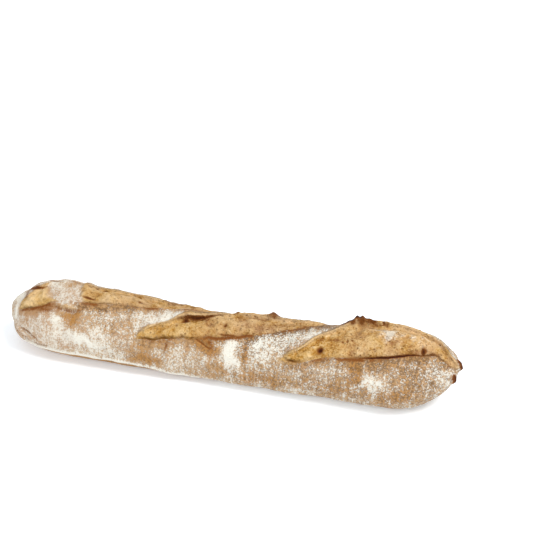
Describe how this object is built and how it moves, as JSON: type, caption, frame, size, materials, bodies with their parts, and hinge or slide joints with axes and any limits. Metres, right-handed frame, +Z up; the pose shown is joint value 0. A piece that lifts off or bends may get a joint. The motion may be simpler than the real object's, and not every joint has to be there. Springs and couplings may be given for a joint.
{
  "type": "baguette",
  "caption": "Short rustic baguette with a floured crust, slanting slashes torn open over its crown, a blunt end, a tapered end and a flat underside to rest on.",
  "frame": {"origin": "on the resting face, under the middle of the loaf's bounding box", "axes": "+X along the loaf to its tapered end, +Y to its back, +Z up from the resting face"},
  "size_m": [0.3032, 0.057, 0.0429],
  "materials": {
    "crust": "matte baked crust dusted with flour, golden where it tore open"
  },
  "bodies": {
    "root": {"loaf": "crust"}
  },
  "joints": []
}
